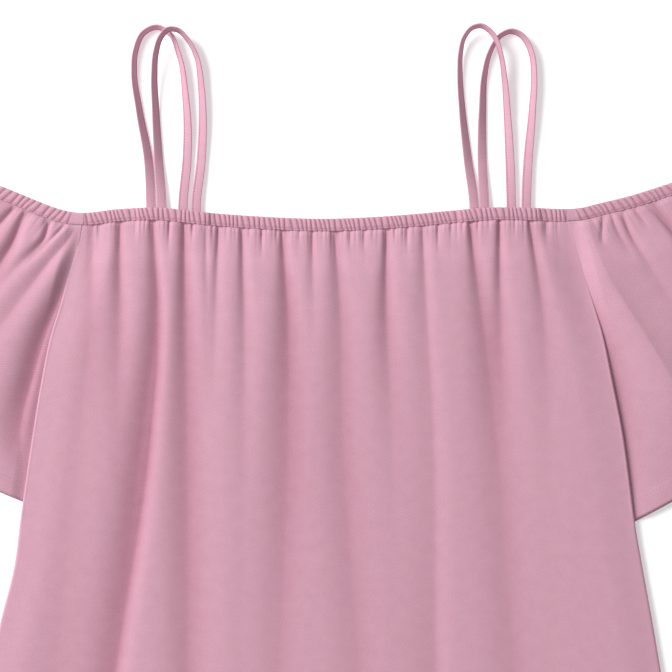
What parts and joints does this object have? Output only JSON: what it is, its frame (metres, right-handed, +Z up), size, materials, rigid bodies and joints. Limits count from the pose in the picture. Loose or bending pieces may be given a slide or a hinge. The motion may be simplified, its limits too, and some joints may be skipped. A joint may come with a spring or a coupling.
{
  "type": "off-shoulder mini dress",
  "caption": "Flared mini dress laid flat, with a ruched elastic off-shoulder neckline, wide short raglan sleeves and paired ribbon shoulder straps.",
  "frame": {"origin": "centre of the laid dress's bounding box, on the surface it lies on", "axes": "+Y from the hem to the neckline and straps, +X to the right as seen from the front, +Z up from the surface through the front"},
  "size_m": [0.787, 0.903, 0.0134],
  "materials": {
    "crepe": "matt dusty pink crepe",
    "casing": "the same crepe, ruched over elastic",
    "ribbon": "the same crepe, folded and edge-stitched"
  },
  "bodies": {
    "root": {"front_panel": "crepe", "back_panel": "crepe", "left_sleeve": "crepe", "right_sleeve": "crepe", "front_casing": "casing", "back_casing": "casing", "left_sleeve_casing": "casing", "right_sleeve_casing": "casing", "strap_left_outer": "ribbon", "strap_left_inner": "ribbon", "strap_right_inner": "ribbon", "strap_right_outer": "ribbon"}
  },
  "joints": []
}
